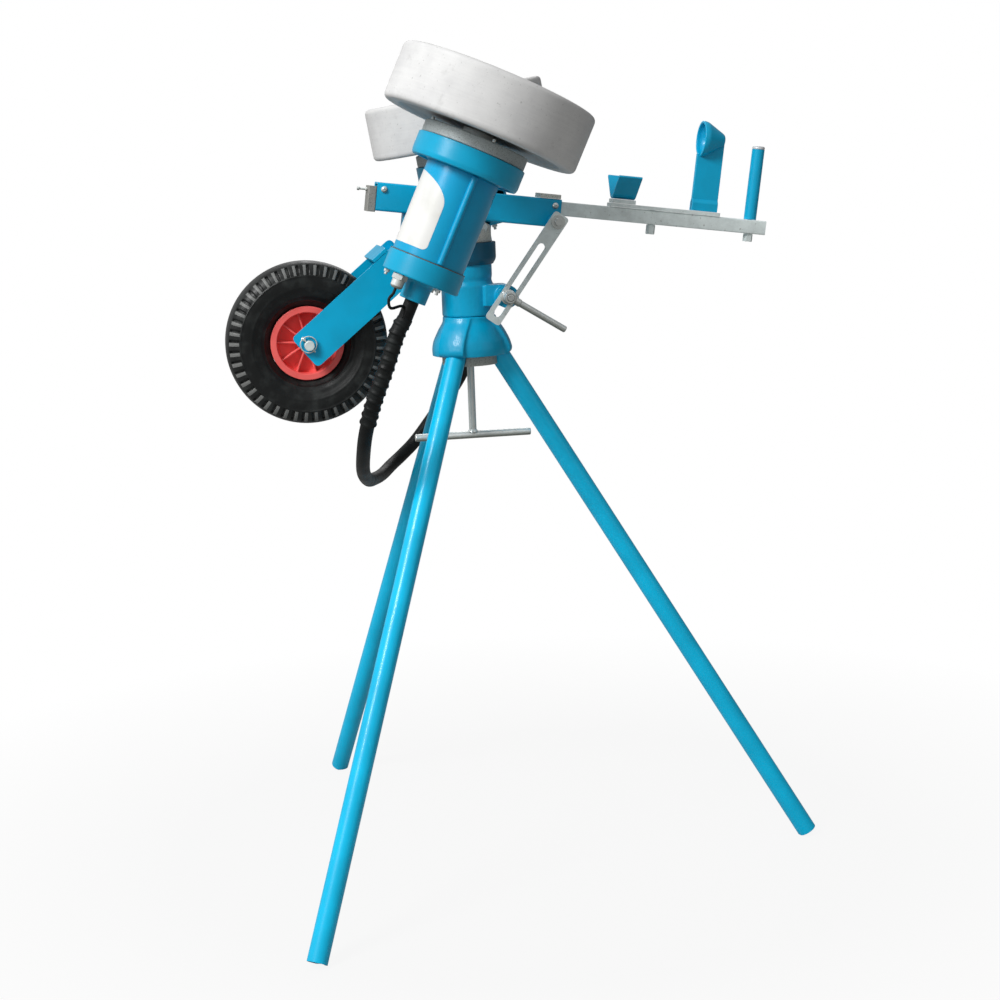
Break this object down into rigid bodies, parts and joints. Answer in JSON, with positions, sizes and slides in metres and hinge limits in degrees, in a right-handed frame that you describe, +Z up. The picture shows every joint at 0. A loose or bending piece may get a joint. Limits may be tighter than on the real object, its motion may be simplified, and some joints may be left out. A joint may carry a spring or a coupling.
{
  "type": "football throwing machine",
  "caption": "Tripod machine that throws a football: two canted motor driven wheels on a tilting beam, a ball carriage on a rail, an aiming handle and a transport wheel.",
  "frame": {"origin": "middle of the footprint at floor height, measured without the motor hose", "axes": "+Z up; the ball leaves towards -X; -Y is the side of the near wheel, the slotted link and the clamp lever"},
  "size_m": [0.9416, 0.9564, 1.3215],
  "materials": {
    "blue_paint": "gloss",
    "cast_blue": "gloss blue paint on a casting",
    "dark_blue_paint": "satin",
    "motor_blue": "metallic gloss",
    "motor_casting": "metallic blue paint on a casting",
    "zinc_plate": "dull zinc plate",
    "bright_steel": "bright plated",
    "grey_casting": "rough cast",
    "magnet_grey": "matt",
    "pale_urethane": "matt, brushed by use",
    "black_rubber": "matt",
    "hose_rubber": "satin",
    "red_plastic": "satin",
    "grey_plastic": "matt"
  },
  "bodies": {
    "tripod": {"tripod_head": "cast_blue", "leg_near": "blue_paint", "leg_right": "blue_paint", "leg_far": "blue_paint", "clamp_disc": "grey_casting"},
    "t_screw": {"t_handle": "bright_steel"},
    "turret": {"turret_body": "cast_blue", "collar_band": "dark_blue_paint", "clamp_stud": "bright_steel", "pivot_block": "grey_casting", "pivot_pin": "zinc_plate"},
    "lever": {"clamp_lever": "bright_steel"},
    "link": {"slotted_link": "zinc_plate"},
    "carriage": {"slide_bar": "zinc_plate", "cradle_base": "zinc_plate", "cradle": "blue_paint", "pusher": "blue_paint", "guide_stud": "zinc_plate"},
    "near_wheel": {"near_throwing_wheel": "pale_urethane", "near_rotor": "bright_steel"},
    "far_wheel": {"far_throwing_wheel": "pale_urethane", "far_rotor": "bright_steel"},
    "transport_wheel": {"transport_tyre": "black_rubber", "transport_rim": "red_plastic"},
    "head": {"beam_tube": "blue_paint", "handle_tube": "blue_paint", "fork_plate_near": "blue_paint", "fork_plate_far": "blue_paint", "fork_strap": "blue_paint", "fork_stem": "blue_paint", "link_spacer": "blue_paint", "near_motor_bracket": "dark_blue_paint", "far_motor_bracket": "dark_blue_paint", "near_end_bell": "grey_casting", "far_end_bell": "grey_casting", "link_bolt": "bright_steel", "end_knob": "bright_steel", "split_pin": "bright_steel", "near_upper_bearing": "bright_steel", "far_upper_bearing": "bright_steel", "near_lower_bearing": "bright_steel", "far_lower_bearing": "bright_steel", "rail": "zinc_plate", "beam_plate": "zinc_plate", "beam_screw_right": "zinc_plate", "beam_screw_left": "zinc_plate", "handle_bolt": "zinc_plate", "transport_axle_rod": "zinc_plate", "near_motor_housing": "motor_blue", "far_motor_housing": "motor_blue", "near_mounting_flange": "motor_casting", "far_mounting_flange": "motor_casting", "near_motor_cap": "motor_casting", "far_motor_cap": "motor_casting", "near_field_magnets": "magnet_grey", "far_field_magnets": "magnet_grey", "motor_hose": "hose_rubber", "end_cover": "grey_plastic", "handle_plug": "grey_plastic"}
  },
  "joints": [
    {"name": "turret_swivel", "type": "hinge", "parent": "tripod", "child": "turret", "pos_m": [-0.07856, -0.03454, 0.902], "axis": [0, 0, 1], "range_deg": [-12, 12]},
    {"name": "t_screw_turn", "type": "hinge", "parent": "tripod", "child": "t_screw", "pos_m": [-0.07856, -0.03454, 0.708], "axis": [0, 0, 1], "range_deg": [-180, 180]},
    {"name": "beam_tilt", "type": "hinge", "parent": "turret", "child": "head", "pos_m": [-0.05406, -0.03454, 1.042], "axis": [0, 1, 0], "range_deg": [-2, 20]},
    {"name": "clamp_lever_turn", "type": "hinge", "parent": "turret", "child": "lever", "pos_m": [-0.02376, -0.10954, 0.9326], "axis": [0, 1, 0], "range_deg": [-75, 15]},
    {"name": "link_hinge", "type": "hinge", "parent": "head", "child": "link", "pos_m": [0.05944, -0.09654, 1.04554], "axis": [0, 1, 0], "range_deg": [-10, 1]},
    {"name": "carriage_slide", "type": "slide", "parent": "head", "child": "carriage", "axis": [0.9903, 0, -0.1392], "range_m": [-0.075, 0.04]},
    {"name": "near_wheel_spin", "type": "hinge", "parent": "head", "child": "near_wheel", "pos_m": [-0.07099, -0.26254, 1.22191], "axis": [0.4194, 0, 0.9078], "continuous": true},
    {"name": "far_wheel_spin", "type": "hinge", "parent": "head", "child": "far_wheel", "pos_m": [-0.05037, 0.19346, 1.21416], "axis": [-0.153, 0, 0.9882], "continuous": true},
    {"name": "transport_wheel_spin", "type": "hinge", "parent": "head", "child": "transport_wheel", "pos_m": [-0.34176, -0.03454, 0.8739], "axis": [0, 1, 0], "continuous": true}
  ],
  "couplings": [
    {"joint": "link_hinge", "follows": "beam_tilt", "ratio": -0.5}
  ]
}
